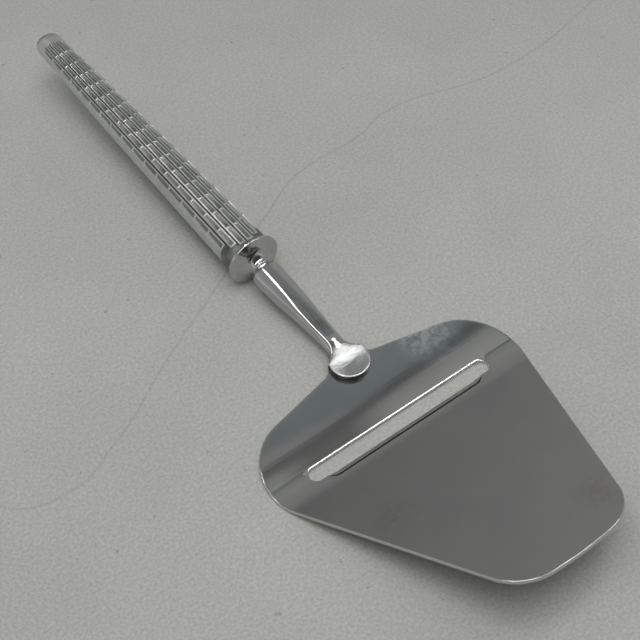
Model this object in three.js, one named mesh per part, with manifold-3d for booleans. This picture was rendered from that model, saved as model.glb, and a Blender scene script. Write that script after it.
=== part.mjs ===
// Cheese slicer with a folded stainless blade, a forged shank and a hollow patterned handle.
// Millimetres, +Z up. The slicer lies along Y as it rests on a table, blade tip towards -Y.
import * as THREE from "three";
import { mergeVertices } from "three/addons/utils/BufferGeometryUtils.js";
import Module from "manifold-3d";

const wasm = await Module();
wasm.setup();

// Blade: Y runs from the start of its fold, X is half of the width, corners before rounding
const bladeThickness = 1;
const tipY = -57;
const tipCrownRadius = 60;
const frontCornerX = 15.5;
const frontCornerY = -56.1;
const frontCornerRadius = 12;
const shoulderX = 42;
const shoulderY = 18.2;
const shoulderRadius = 14.5;
const rootX = 6.4;
const rootY = 25;
const rootRadius = 4;
const tabX = 3;
const tabY = 29.2;
const tabRadius = 1.8;

// Fold across the blade behind its flat front
const foldAngle = THREE.MathUtils.degToRad(23.4);
const foldRadius = 20.6;

// Slicing slot and its pressed cutting lip
const slotHalfLength = 27.2;
const slotRearY = 8.33;
const lipCreaseY = 3;
const lipEdgeY = 4.25;
const lipDrop = 0.55;
const lipEdgeThickness = 0.4;
const lipRunIn = 5;

// Flange between the shank and the handle, its place and the tilt of the handle's axis
const flangeY = 61.9;
const flangeZ = 24.85;
const handleAngle = THREE.MathUtils.degToRad(21.3);
const flangeRadius = 7.5;
const flangeThickness = 1;
const flangeEdge = 0.25;

// Shank: distances run from the front of the flange towards the blade
const neckDistance = 3.2;
const neckRadius = 2.35;
const beadDistance = 3.7;
const beadRadius = 2.75;
const shoulderDistance = 4.1;
const shoulderRun = 1.6;
const stemHalfWidth = 4.05;
const stemHalfHeight = 3.5;
const stemDrop = 0.3;
const waistDistance = 33.6;
const waistHalfWidth = 2.4;
const waistRise = 0.6;
const padDistance = 40.25;
const padRadius = 5.1;
const padThickness = 1.43;

// Tang behind the flange
const tangLength = 46;
const tangHalfWidth = 2.6;
const tangHalfHeight = 1.5;

// Handle: two stamped half shells round a filling
const handleLength = 108.2;
const mouthHalfWidth = 6.36;
const buttHalfWidth = 3.85;
const handleBow = 0.22;
const shellThickness = 0.8;
const buttRound = 3.2;

// Relief of the handle: ladders of shallow pockets side by side
const ladderStart = 3.04;
const ladderEnd = 101.97;
const rungWidth = 0.42;
const pocketDepth = 0.3;
const grooveDepth = 0.22;
const rowBow = 0.56;

// Clearances
const jointGap = 0.3;
const cutOver = 3;
const weldDistance = 1e-5;

// Counts and shares
const ladderCount = 6;
const rowCount = 16;
const ringSides = 48;
const arcSteps = 10;
const shellSteps = 14;
const grooveSteps = 8;
const sectionSteps = 180;
const handleDepthShare = 0.82;
const tangTaperShare = 0.6;
const pocketShare = 0.46;
const grooveShare = 0.22;
const ladderPitchShare = 0.1257;
const ladderSpreadShare = 0.0007;
const rowSpreadShare = 0.0766;
const trumpetShares = [0.05, 0.2, 0.4, 0.65, 0.88, 1];
const shoulderShares = [0.06, 0.25, 0.55, 1];
const taperShares = [0.3, 0.5, 0.66, 0.8, 0.9, 1];
const padShares = [-0.86, -0.72, -0.55, -0.3, 0, 0.3, 0.55, 0.75, 0.88, 0.96, 0.995];
const buttShares = [0.4, 0.66, 0.84, 0.95, 0.995];

// Powers of the rounded sections, 2 is an ellipse and more is squarer
const roundPower = 2;
const stemPower = 2.2;
const handlePower = 2.3;
const buttPower = 2.6;
const waistPower = 3.2;
const squarePower = 5;
const trumpetPower = 1.5;
const bowPower = 2.5;

const steel = { color: 0xa9aba6, roughness: 0.16, metalness: 1 };
const polished = { color: 0xc9cbc8, roughness: 0.09, metalness: 1 };
const silver = { color: 0xb4b5ae, roughness: 0.26, metalness: 1 };
const filler = { color: 0x8b857a, roughness: 0.9, metalness: 0 };

// Solid from a closed three.js geometry
function solidOf(geometry) {
  const plain = geometry.index ? geometry.toNonIndexed() : geometry.clone();
  plain.deleteAttribute("normal");
  plain.deleteAttribute("uv");
  const merged = mergeVertices(plain, weldDistance);
  const data = {
    numProp: 3,
    vertProperties: Float32Array.from(merged.attributes.position.array),
    triVerts: Uint32Array.from(merged.index.array),
  };
  return new wasm.Manifold(new wasm.Mesh(data));
}

function meshOf(name, solid, look) {
  const data = solid.getMesh();
  const geometry = new THREE.BufferGeometry();
  geometry.setAttribute("position", new THREE.BufferAttribute(data.vertProperties, 3));
  geometry.setIndex(new THREE.BufferAttribute(data.triVerts, 1));
  geometry.computeVertexNormals();
  const mesh = new THREE.Mesh(geometry, new THREE.MeshStandardMaterial(look));
  mesh.name = name;
  return mesh;
}

function middleOf(ring) {
  const middle = new THREE.Vector3();
  ring.forEach((point) => middle.add(point));
  return middle.divideScalar(ring.length);
}

// Closed skin over rings of equal point counts, with a fan on the first and the last ring
function loftOf(rings) {
  const sides = rings[0].length;
  const last = (rings.length - 1) * sides;
  const points = rings.flat();
  const index = [];
  points.push(middleOf(rings[0]), middleOf(rings[rings.length - 1]));
  for (let s = 0; s < sides; s++) {
    const next = (s + 1) % sides;
    for (let row = 0; row < last; row += sides) {
      index.push(row + s, row + next, row + next + sides);
      index.push(row + s, row + next + sides, row + s + sides);
    }
    index.push(points.length - 2, next, s);
    index.push(points.length - 1, last + s, last + next);
  }
  const geometry = new THREE.BufferGeometry().setFromPoints(points);
  const solid = solidOf(geometry.setIndex(index));
  return solid.volume() > 0 ? solid : solidOf(geometry.setIndex(index.reverse()));
}

// Rounded section across the Y axis, with its top and bottom given apart
function sectionRing(y, halfWidth, top, bottom, power) {
  const ring = [];
  for (let s = 0; s < ringSides; s++) {
    const turn = (s / ringSides) * Math.PI * 2;
    const c = Math.cos(turn);
    const d = Math.sin(turn);
    const x = halfWidth * Math.sign(c) * Math.abs(c) ** (2 / power);
    const lift = Math.sign(d) * Math.abs(d) ** (2 / power);
    ring.push(new THREE.Vector3(x, y, (top + bottom) / 2 + (lift * (top - bottom)) / 2));
  }
  return ring;
}

// Arc that rounds the corner at here, between the points before and after it
function cornerArc(before, here, after, radius) {
  const back = before.clone().sub(here).normalize();
  const on = after.clone().sub(here).normalize();
  const half = Math.acos(back.dot(on)) / 2;
  const reach = radius / Math.tan(half);
  const centre = back.clone().add(on).setLength(radius / Math.sin(half)).add(here);
  const start = back.clone().multiplyScalar(reach).add(here).sub(centre).angle();
  const end = on.clone().multiplyScalar(reach).add(here).sub(centre).angle();
  const sweep = Math.atan2(Math.sin(end - start), Math.cos(end - start));
  const arc = [];
  for (let s = 0; s <= arcSteps; s++) {
    const turn = start + (sweep * s) / arcSteps;
    arc.push(new THREE.Vector2(Math.cos(turn), Math.sin(turn)).multiplyScalar(radius).add(centre));
  }
  return arc;
}

// Outline from the corners of its right half, each with its rounding radius
function mirroredOutline(corners) {
  const right = corners.map(([x, y]) => new THREE.Vector2(x, y));
  const flip = (point) => new THREE.Vector2(-point.x, point.y);
  const loop = [...right, ...right.filter((point) => point.x > 0).map(flip).reverse()];
  const half = [];
  right.forEach((here, i) => {
    const before = loop.at(i - 1);
    const after = loop[(i + 1) % loop.length];
    half.push(...cornerArc(before, here, after, corners[i][2]).filter((point) => point.x > weldDistance));
  });
  return [...half, ...half.map(flip).reverse()];
}

// Upright prism on an outline in X and Y
function prismOf(outline, low, high) {
  const shape = new THREE.Shape(outline);
  const geometry = new THREE.ExtrudeGeometry(shape, { depth: high - low, bevelEnabled: false });
  return solidOf(geometry.translate(0, 0, low));
}

function boxOf(low, high) {
  const size = high.clone().sub(low);
  const middle = low.clone().add(high).divideScalar(2);
  return solidOf(new THREE.BoxGeometry(size.x, size.y, size.z).translate(middle.x, middle.y, middle.z));
}

// Top surface of the blade in the blade's own frame
const foldEndY = foldRadius * Math.sin(foldAngle);
const foldEndZ = foldRadius * (1 - Math.cos(foldAngle));
function bladeTop(y) {
  if (y <= 0) return 0;
  if (y < foldEndY) return foldRadius - Math.sqrt(foldRadius ** 2 - y ** 2);
  return foldEndZ + (y - foldEndY) * Math.tan(foldAngle);
}

// Sheet bent about the X axis, wider and longer than the blade
function bladeSheet() {
  const nearY = tipY - cutOver;
  const farY = tabY + cutOver;
  const across = shoulderX + cutOver;
  const outerRadius = foldRadius + bladeThickness;
  const top = [new THREE.Vector2(nearY, 0)];
  const under = [new THREE.Vector2(nearY, -bladeThickness)];
  for (let s = 0; s <= arcSteps; s++) {
    const turn = (foldAngle * s) / arcSteps;
    top.push(new THREE.Vector2(foldRadius * Math.sin(turn), foldRadius * (1 - Math.cos(turn))));
    under.push(new THREE.Vector2(outerRadius * Math.sin(turn), foldRadius - outerRadius * Math.cos(turn)));
  }
  top.push(new THREE.Vector2(farY, bladeTop(farY)));
  under.push(new THREE.Vector2(farY, bladeTop(farY) - bladeThickness / Math.cos(foldAngle)));
  const shape = new THREE.Shape([...top, ...under.reverse()]);
  const geometry = new THREE.ExtrudeGeometry(shape, { depth: across * 2, bevelEnabled: false });
  const toYZ = new THREE.Matrix4().makeBasis(
    new THREE.Vector3(0, 1, 0),
    new THREE.Vector3(0, 0, 1),
    new THREE.Vector3(1, 0, 0),
  );
  return solidOf(geometry.applyMatrix4(toYZ).translate(-across, 0, 0));
}

// Slot with round ends between the lip's edge and the slot's rear edge
const slotRadius = (slotRearY - lipEdgeY) / 2;
const slotStraight = slotHalfLength - slotRadius;
function slotOutline() {
  const outline = new THREE.Shape();
  const middleY = lipEdgeY + slotRadius;
  outline.absarc(slotStraight, middleY, slotRadius, -Math.PI / 2, Math.PI / 2);
  outline.absarc(-slotStraight, middleY, slotRadius, Math.PI / 2, (Math.PI * 3) / 2);
  return outline.getPoints(arcSteps);
}

// Lip along the front of the slot, pressed down and ground to a thin edge
function cuttingLip() {
  const creaseTop = bladeTop(lipCreaseY);
  const rings = [];
  for (let s = -arcSteps; s <= arcSteps; s++) {
    const x = (slotStraight * s) / arcSteps;
    const press = THREE.MathUtils.smoothstep(slotStraight - Math.abs(x), 0, lipRunIn);
    const edgeTop = bladeTop(lipEdgeY) - lipDrop * press;
    const thickness = THREE.MathUtils.lerp(bladeThickness, lipEdgeThickness, press);
    rings.push([
      new THREE.Vector3(x, lipCreaseY, creaseTop),
      new THREE.Vector3(x, lipEdgeY, edgeTop),
      new THREE.Vector3(x, lipEdgeY, edgeTop - thickness),
      new THREE.Vector3(x, lipCreaseY, creaseTop - bladeThickness),
    ]);
  }
  return loftOf(rings);
}

function makeBlade() {
  const outline = mirroredOutline([
    [0, tipY, tipCrownRadius],
    [frontCornerX, frontCornerY, frontCornerRadius],
    [shoulderX, shoulderY, shoulderRadius],
    [rootX, rootY, rootRadius],
    [tabX, tabY, tabRadius],
  ]);
  const low = -bladeThickness - cutOver;
  const high = bladeTop(tabY) + cutOver;
  const lipRoom = boxOf(
    new THREE.Vector3(-slotStraight, lipCreaseY, low),
    new THREE.Vector3(slotStraight, lipEdgeY + slotRadius, high),
  );
  const plate = bladeSheet().intersect(prismOf(outline, low, high));
  const slotted = plate.subtract(prismOf(slotOutline(), low, high)).subtract(lipRoom);
  return meshOf("blade", slotted.add(cuttingLip()), steel);
}

// Height over the handle's axis of the blade's rear plate, at y in the handle's frame
function rearPlateAt(y) {
  const foot = new THREE.Vector2(foldEndY - flangeY, foldEndZ - flangeZ);
  foot.rotateAround(new THREE.Vector2(), -handleAngle);
  return foot.y + (y - foot.x) * Math.tan(foldAngle - handleAngle);
}

// Each station of the shank is its y, half width, top, bottom and section power
function shankStations() {
  const { lerp, smoothstep } = THREE.MathUtils;
  const stations = [];
  const round = (y, radius) => stations.push([y, radius, radius, -radius, roundPower]);
  const tangEnd = flangeThickness + tangLength;
  const endWidth = tangHalfWidth * tangTaperShare;
  const endHeight = tangHalfHeight * tangTaperShare;
  stations.push([tangEnd, endWidth, endHeight, -endHeight, squarePower]);
  stations.push([flangeThickness, tangHalfWidth, tangHalfHeight, -tangHalfHeight, squarePower]);
  round(flangeThickness, flangeRadius - flangeEdge);
  round(flangeThickness - flangeEdge, flangeRadius);
  round(flangeEdge, flangeRadius);
  round(0, flangeRadius - flangeEdge);
  for (const share of trumpetShares) {
    const fall = 1 - (1 - share) ** trumpetPower;
    round(-neckDistance * share, lerp(flangeRadius - flangeEdge, neckRadius, fall));
  }
  round(-lerp(neckDistance, beadDistance, 1 / 2), beadRadius);
  round(-beadDistance, beadRadius);
  round(-shoulderDistance, neckRadius);
  for (const share of shoulderShares) {
    const swell = Math.sqrt(1 - (1 - share) ** 2);
    const halfWidth = lerp(neckRadius, stemHalfWidth, swell);
    const halfHeight = lerp(neckRadius, stemHalfHeight, swell);
    const y = -shoulderDistance - shoulderRun * share;
    const drop = stemDrop * swell;
    stations.push([y, halfWidth, halfHeight - drop, -halfHeight - drop, stemPower]);
  }
  for (const share of taperShares) {
    const y = -lerp(shoulderDistance + shoulderRun, waistDistance, share);
    const slim = smoothstep(share, 0, 1);
    const halfWidth = lerp(stemHalfWidth, waistHalfWidth, slim);
    const padTop = rearPlateAt(y) + jointGap + padThickness;
    const top = lerp(stemHalfHeight - stemDrop, padTop + waistRise, slim);
    const bottom = lerp(-stemHalfHeight - stemDrop, padTop - padThickness - waistRise, slim);
    stations.push([y, halfWidth, top, bottom, lerp(stemPower, waistPower, slim)]);
  }
  for (const share of padShares) {
    const y = -padDistance - padRadius * share;
    const halfWidth = Math.max(padRadius * Math.sqrt(1 - share ** 2), share < 0 ? waistHalfWidth : 0);
    const bottom = rearPlateAt(y) + jointGap;
    stations.push([y, halfWidth, bottom + padThickness, bottom, squarePower]);
  }
  return stations;
}

function makeShank() {
  const rings = shankStations().map((station) => sectionRing(...station));
  return meshOf("shank", loftOf(rings), polished);
}

// Half width of the handle, at y in the handle's frame
const mouthY = flangeThickness + jointGap;
function handleHalf(y) {
  const along = THREE.MathUtils.clamp((y - mouthY) / (handleLength - mouthY), 0, 1);
  return THREE.MathUtils.lerp(mouthHalfWidth, buttHalfWidth, along) + handleBow * Math.sin(Math.PI * along);
}

function handleRing(y, inset, shrink) {
  const halfWidth = (handleHalf(y) - inset) * shrink;
  const halfDepth = (handleHalf(y) * handleDepthShare - inset) * shrink;
  return sectionRing(y, halfWidth, halfDepth, -halfDepth, handlePower);
}

// Handle drawn in by an inset all round, from startY to its rounded butt
function handleBody(inset, startY) {
  const roundY = handleLength - buttRound;
  const rings = [];
  for (let s = 0; s <= shellSteps; s++) {
    rings.push(handleRing(THREE.MathUtils.lerp(startY, roundY, s / shellSteps), inset, 1));
  }
  for (const share of buttShares) {
    const y = THREE.MathUtils.lerp(roundY, handleLength - inset, share);
    rings.push(handleRing(y, inset, (1 - share ** buttPower) ** (1 / buttPower)));
  }
  return loftOf(rings);
}

// Point of the patterned face at x and y, raised along the face's normal, on the side of +Z or -Z
function facePoint(x, y, raise, side) {
  const halfWidth = handleHalf(y);
  const halfDepth = halfWidth * handleDepthShare;
  const across = Math.min(Math.abs(x) / halfWidth, 1);
  const up = (1 - across ** handlePower) ** (1 / handlePower);
  const normal = new THREE.Vector2(
    (Math.sign(x) * across ** (handlePower - 1)) / halfWidth,
    up ** (handlePower - 1) / halfDepth,
  ).setLength(raise);
  return new THREE.Vector3(x + normal.x, y, side * (up * halfDepth + normal.y));
}

// Steps along the section from its top: length so far, and place across as a share of the half width
const sectionTable = [[0, 0]];
for (let s = 1, down = handleDepthShare; s <= sectionSteps; s++) {
  const turn = (s / sectionSteps) * (Math.PI / 2);
  const across = Math.sin(turn) ** (2 / handlePower);
  const nextDown = handleDepthShare * Math.abs(Math.cos(turn)) ** (2 / handlePower);
  const [length, lastAcross] = sectionTable[s - 1];
  sectionTable.push([length + Math.hypot(across - lastAcross, nextDown - down), across]);
  down = nextDown;
}

// Place of a column of the relief at y. Columns are counted from the middle groove and
// lie about evenly along the section, the outer ones a little wider
function columnX(column, y) {
  const size = Math.abs(column);
  const share = ladderPitchShare * size + ladderSpreadShare * size ** 3;
  const length = share * 2 * sectionTable[sectionSteps][0];
  const s = Math.max(sectionTable.findIndex((step) => step[0] >= length), 1);
  const [[lowLength, lowAcross], [highLength, highAcross]] = sectionTable.slice(s - 1, s + 1);
  const between = (length - lowLength) / (highLength - lowLength);
  return Math.sign(column) * handleHalf(y) * THREE.MathUtils.lerp(lowAcross, highAcross, between);
}

// Rows bow away from the blade at the sides and straighten towards the butt
function rowShift(column, y) {
  const along = (y - ladderStart) / (ladderEnd - ladderStart);
  return rowBow * (1 - along ** bowPower) * column ** 2;
}

// Cutter for a strip of one column, as wide as a share of the column
function stripCutter(column, share, startY, endY, depth, steps, side) {
  const rings = [];
  for (let s = 0; s <= steps; s++) {
    const y = THREE.MathUtils.lerp(startY, endY, s / steps);
    const left = columnX(column - share / 2, y);
    const right = columnX(column + share / 2, y);
    const bowedY = y + rowShift(column, y);
    const high = cutOver * pocketShare;
    rings.push([
      facePoint(left, bowedY, -depth, side),
      facePoint(right, bowedY, -depth, side),
      facePoint(right, bowedY, high, side),
      facePoint(left, bowedY, high, side),
    ]);
  }
  return loftOf(rings);
}

// Place of a rung, rows lie a little wider apart at the mouth than at the butt
function rungY(row) {
  const share = row / rowCount;
  return THREE.MathUtils.lerp(ladderStart, ladderEnd, share * (1 + rowSpreadShare * (1 - share)));
}

function reliefCutters(side) {
  const cutters = [];
  for (let c = 0; c < ladderCount; c++) {
    const column = c - (ladderCount - 1) / 2;
    for (let row = 0; row < rowCount; row++) {
      const startY = rungY(row) + rungWidth / 2;
      const endY = rungY(row + 1) - rungWidth / 2;
      cutters.push(stripCutter(column, pocketShare, startY, endY, pocketDepth, 1, side));
    }
  }
  for (let c = 1; c < ladderCount; c++) {
    const column = c - ladderCount / 2;
    cutters.push(stripCutter(column, grooveShare, ladderStart, ladderEnd, grooveDepth, grooveSteps, side));
  }
  return cutters.reduce((all, cutter) => all.add(cutter));
}

// One half of the wall of the handle with its relief
function makeShell(name, side) {
  const across = mouthHalfWidth + handleBow + cutOver;
  const edges = [(side * jointGap) / 2, side * across];
  const half = boxOf(
    new THREE.Vector3(-across, 0, Math.min(...edges)),
    new THREE.Vector3(across, handleLength + cutOver, Math.max(...edges)),
  );
  const wall = handleBody(0, mouthY).subtract(handleBody(shellThickness, mouthY - cutOver));
  return meshOf(name, wall.intersect(half).subtract(reliefCutters(side)), silver);
}

// Filling of the handle with the hole for the tang
function makeFilling() {
  const tangRing = (y, share) => {
    const halfWidth = tangHalfWidth * share + jointGap;
    const halfHeight = tangHalfHeight * share + jointGap;
    return sectionRing(y, halfWidth, halfHeight, -halfHeight, squarePower);
  };
  const hole = loftOf([tangRing(0, 1), tangRing(flangeThickness + tangLength + jointGap, tangTaperShare)]);
  const body = handleBody(shellThickness + jointGap, mouthY);
  return meshOf("handle_filling", body.subtract(hole), filler);
}

// Resting tilt: the line from the flange's low edge that just touches the fold's underside
const lowY = flangeY + flangeRadius * Math.sin(handleAngle);
const lowZ = flangeZ - flangeRadius * Math.cos(handleAngle) - foldRadius;
const touch = Math.asin((foldRadius + bladeThickness) / Math.hypot(lowY, lowZ));
const restTilt = Math.atan2(lowZ, lowY) + touch;

// The handle's frame has its Y along the handle, from the front of the flange
const handleFrame = new THREE.Group();
handleFrame.position.set(0, flangeY, flangeZ);
handleFrame.rotation.x = handleAngle;
handleFrame.add(makeShank(), makeFilling());
handleFrame.add(makeShell("handle_front_shell", 1), makeShell("handle_back_shell", -1));

const slicer = new THREE.Group();
slicer.name = "cheese_slicer";
slicer.add(makeBlade(), handleFrame);
slicer.rotation.x = -restTilt;
slicer.updateMatrixWorld(true);

// Middle of the footprint at the origin, lowest point on the table
const bounds = new THREE.Box3().setFromObject(slicer, true);
slicer.position.y = -(bounds.min.y + bounds.max.y) / 2;
slicer.position.z = -bounds.min.z;

export default slicer;
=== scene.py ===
from math import acos, asin, cos, hypot, pi, radians, sin, sqrt, tan

import bmesh
import bpy
from mathutils import Matrix, Vector


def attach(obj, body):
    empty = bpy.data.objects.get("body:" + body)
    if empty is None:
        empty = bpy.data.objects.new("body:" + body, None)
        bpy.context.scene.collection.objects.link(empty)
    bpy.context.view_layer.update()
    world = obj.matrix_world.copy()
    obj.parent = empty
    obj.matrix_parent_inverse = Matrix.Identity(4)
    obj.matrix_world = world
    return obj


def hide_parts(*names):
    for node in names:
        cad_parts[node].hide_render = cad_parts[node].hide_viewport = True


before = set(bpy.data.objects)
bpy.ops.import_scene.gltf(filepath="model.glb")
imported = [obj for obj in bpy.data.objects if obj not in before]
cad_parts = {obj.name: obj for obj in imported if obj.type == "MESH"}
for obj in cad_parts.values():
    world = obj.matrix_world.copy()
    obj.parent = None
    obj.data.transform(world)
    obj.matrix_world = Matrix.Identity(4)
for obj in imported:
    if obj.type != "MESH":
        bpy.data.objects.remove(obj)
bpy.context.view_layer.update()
print("frame loaded:", ", ".join(sorted(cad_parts)))

# Each piece is drawn in millimetres, in the blade's or the handle's own frame.
# placePiece then brings it to metres, where the slicer lies on the table.
placing = {
    "restTilt": radians(17.0823),   # it rests on its fold and on its flange
    "shift": (0, -59.7619, 1.9088),
    "flangeCentre": (0, 61.9, 24.85),
    "handleAngle": radians(21.3),
    "millimetre": 0.001,
}
bladePlace = Matrix.Translation(placing["shift"]) @ Matrix.Rotation(-placing["restTilt"], 4, "X")
handlePlace = (
    bladePlace
    @ Matrix.Translation(placing["flangeCentre"])
    @ Matrix.Rotation(placing["handleAngle"], 4, "X")
)

# how near two points, or a point and a line, count as one
nearness = {
    "merge": 0.001,
    "shellMerge": 0.0005,
    "cut": 0.0001,
    "level": 0.0005,
    "line": 0.01,
}


# small helpers

def mixOf(a, b, share):
    return a + (b - a) * share


def easeOf(share):
    share = min(max(share, 0), 1)
    return share * share * (3 - 2 * share)


def selectOnly(*pieces):
    bpy.ops.object.select_all(action="DESELECT")
    for piece in pieces:
        piece.select_set(True)
    bpy.context.view_layer.objects.active = pieces[0]


def namePiece(name):
    piece = bpy.context.active_object
    piece.name = name
    piece.data.name = name
    return piece


def editPiece(piece):
    selectOnly(piece)
    bpy.ops.object.mode_set(mode="EDIT")
    bpy.ops.mesh.select_all(action="DESELECT")


def leaveEdit():
    bpy.ops.object.mode_set(mode="OBJECT")


def selectFaces(piece, wanted):
    # marks the faces of the piece in edit mode for which wanted(face) holds
    editMesh = bmesh.from_edit_mesh(piece.data)
    bpy.context.tool_settings.mesh_select_mode = (False, False, True)
    for face in editMesh.faces:
        face.select_set(False)
    for face in editMesh.faces:
        if wanted(face):
            face.select_set(True)
    bmesh.update_edit_mesh(piece.data)


def faceOutwards():
    bpy.ops.mesh.select_all(action="SELECT")
    bpy.ops.mesh.normals_make_consistent(inside=False)


def cutSelected(point, normal):
    bpy.ops.mesh.bisect(plane_co=point, plane_no=normal, threshold=nearness["cut"])


def applyModifier(piece, kind, **settings):
    selectOnly(piece)
    modifier = piece.modifiers.new(kind.title(), kind)
    for name, value in settings.items():
        setattr(modifier, name, value)
    bpy.ops.object.modifier_apply(modifier=modifier.name)


def placePiece(piece, place):
    piece.matrix_world = Matrix.Scale(placing["millimetre"], 4) @ place
    selectOnly(piece)
    bpy.ops.object.transform_apply(location=True, rotation=True, scale=True)


# blade: a flat sheet is outlined, slotted, its lip pressed, and then it is bent

bladeShape = {
    "thickness": 1,
    "corners": [(0, -57, 60), (15.5, -56.1, 12), (42, 18.2, 14.5), (6.4, 25, 4), (3, 29.2, 1.8)],
    "arcSteps": 14,
    "rimRound": 0.15,
    "rimSteps": 4,
    "rimFlat": 0.35,
    "flatFacing": 0.9,
    "smoothAngle": radians(35),
    # fold
    "foldAngle": radians(23.4),
    "foldRadius": 20.6,
    "foldSteps": 14,
    "foldSettle": 0.42,
    "rearLine": 9.6,
    "earTwist": 0.0087,
    "earHalf": 36,
    # slot: its rounding is a list of distances from the wall and heights over the sheet
    "slotHalf": 27.2,
    "slotRear": 8.13,
    "slotSides": 48,
    "slotRound": [(0, -0.24), (0.02, -0.12), (0.06, -0.064), (0.13, -0.036), (0.22, -0.013), (0.31, 0.003)],
    "slotFrontShare": 0.2,
    "slotRearShare": 0.6,
    "slotRearRun": 0.35,
    "slotFrame": 28.4,
    "punchDepth": 6,
    # lip: its profile is a list of places along the blade and drops
    "lipCrease": 2.5,
    "lipEdge": 4.25,
    "lipProfile": [(2.5, 0), (2.85, 0.06), (3.2, 0.3), (4.25, 0.55)],
    "lipClear": (0.3, 0.5),
    "lipSlack": (0.002, 0.02),
    "lipThickness": 0.4,
    "lipHalf": 23.8,
    "lipRunIn": 3.2,
    "lipTaper": 2.6,
    "lipNarrow": 0.3,
    "lipSteps": 6,
    "lipSpans": 3,
    # ground edge and shaded crease, by their place in the blade's list of materials
    "lipGround": 3.2,
    "finishInset": 0.4,
    "finishFacing": 0.5,
    "groundIndex": 1,
    "creaseIndex": 2,
}
foldEnd = bladeShape["foldRadius"] * sin(bladeShape["foldAngle"])
foldRise = bladeShape["foldRadius"] * (1 - cos(bladeShape["foldAngle"]))
slotMiddle = (bladeShape["lipEdge"] + bladeShape["slotRear"]) / 2
slotRadius = (bladeShape["slotRear"] - bladeShape["lipEdge"]) / 2
slotStraight = bladeShape["slotHalf"] - slotRadius


def traceOutline():
    # the corners of the right half and their mirror images, each rounded by a spin
    right = [Vector((x, y, 0)) for x, y, radius in bladeShape["corners"]]
    radii = [radius for x, y, radius in bladeShape["corners"]]
    ring = right + [Vector((-p.x, p.y, 0)) for p in reversed(right) if p.x > 0]
    radii += list(reversed(radii[1:]))
    bpy.ops.mesh.primitive_plane_add(size=1, enter_editmode=True)
    bpy.ops.mesh.merge(type="CENTER")
    here = Vector((0, 0, 0))
    for i, corner in enumerate(ring):
        back = (ring[i - 1] - corner).normalized()
        on = (ring[(i + 1) % len(ring)] - corner).normalized()
        half = back.angle(on) / 2
        centre = corner + (back + on).normalized() * radii[i] / sin(half)
        start = corner + back * radii[i] / tan(half)
        end = corner + on * radii[i] / tan(half)
        sweep = (start - centre).to_2d().angle_signed((end - centre).to_2d())
        if i == 0:
            bpy.ops.transform.translate(value=start)
        else:
            bpy.ops.mesh.extrude_vertices_move(TRANSFORM_OT_translate={"value": start - here})
        bpy.ops.mesh.spin(steps=bladeShape["arcSteps"], angle=sweep, center=centre, axis=(0, 0, 1))
        here = end
    bpy.ops.mesh.select_all(action="SELECT")
    bpy.ops.mesh.remove_doubles(threshold=nearness["merge"])
    leaveEdit()


def fillOutline(piece):
    # the last corner is joined to the first
    editPiece(piece)
    bpy.context.tool_settings.mesh_select_mode = (True, False, False)
    editMesh = bmesh.from_edit_mesh(piece.data)
    for v in editMesh.verts:
        v.select_set(len(v.link_edges) == 1)
    bmesh.update_edit_mesh(piece.data)
    bpy.ops.mesh.edge_face_add()
    bpy.ops.mesh.select_all(action="SELECT")
    bpy.ops.mesh.edge_face_add()


def roundRim(piece):
    # both faces are drawn in round the rim, and a narrow flat frame follows
    b = bladeShape
    for up in (1, -1):
        selectFaces(piece, lambda face: face.normal.z * up > b["flatFacing"])
        for step in range(b["rimSteps"]):
            last, turn = step * pi / 2 / b["rimSteps"], (step + 1) * pi / 2 / b["rimSteps"]
            bpy.ops.mesh.inset(
                thickness=b["rimRound"] * (cos(last) - cos(turn)),
                depth=b["rimRound"] * (sin(turn) - sin(last)),
            )
        bpy.ops.mesh.inset(thickness=b["rimFlat"], depth=0)


def bladePoint(flat):
    # where a point of the flat sheet goes when the sheet is bent
    turn = asin(min(max(flat.y, 0), foldEnd) / bladeShape["foldRadius"])
    rise = bladeShape["foldRadius"] * (1 - cos(turn))
    if flat.y > foldEnd:
        # the ears are sprung a little out of true
        twist = bladeShape["earTwist"] * (flat.x / bladeShape["earHalf"]) ** 3
        rise = foldRise + (flat.y - foldEnd) * (tan(bladeShape["foldAngle"]) - twist)
    return Vector((flat.x, flat.y - flat.z * sin(turn), rise + flat.z * cos(turn)))


def cutAlong(piece, cuts, low, high):
    # cuts the faces that lie between two lines across the sheet
    for point, normal in cuts:
        editPiece(piece)
        selectFaces(piece, lambda face: all(low < v.co.y < high for v in face.verts))
        cutSelected(point, normal)
        leaveEdit()


def makeBlade():
    b = bladeShape
    traceOutline()
    piece = namePiece("slicerBlade")
    fillOutline(piece)
    bpy.ops.transform.translate(value=(0, 0, -b["rimRound"]))
    bpy.ops.mesh.extrude_region_move(
        TRANSFORM_OT_translate={"value": (0, 0, 2 * b["rimRound"] - b["thickness"])}
    )
    faceOutwards()
    roundRim(piece)
    before, behind = b["lipClear"]
    lines = [foldEnd * s / b["foldSteps"] for s in range(b["foldSteps"] + 1)]
    lines = [y for y in lines if y < b["lipCrease"] - before or y > b["lipEdge"] + behind]
    for y in lines + [b["lipCrease"], foldEnd + b["foldSettle"], b["rearLine"]]:
        bpy.ops.mesh.select_all(action="SELECT")
        cutSelected((0, y, 0), (0, 1, 0))
    leaveEdit()
    cutSlot(piece)
    nextLine = min(y for y in lines if y > b["lipEdge"])
    low, high = b["lipCrease"] - nearness["line"], b["rearLine"] + nearness["line"]
    cutAlong(piece, [((side * b["slotFrame"], 0, 0), (1, 0, 0)) for side in (1, -1)], low, high)
    pressLip(piece, nextLine)
    for v in piece.data.vertices:
        v.co = bladePoint(v.co)
    bpy.ops.object.shade_smooth_by_angle(angle=b["smoothAngle"])
    placePiece(piece, bladePlace)
    return piece


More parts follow.
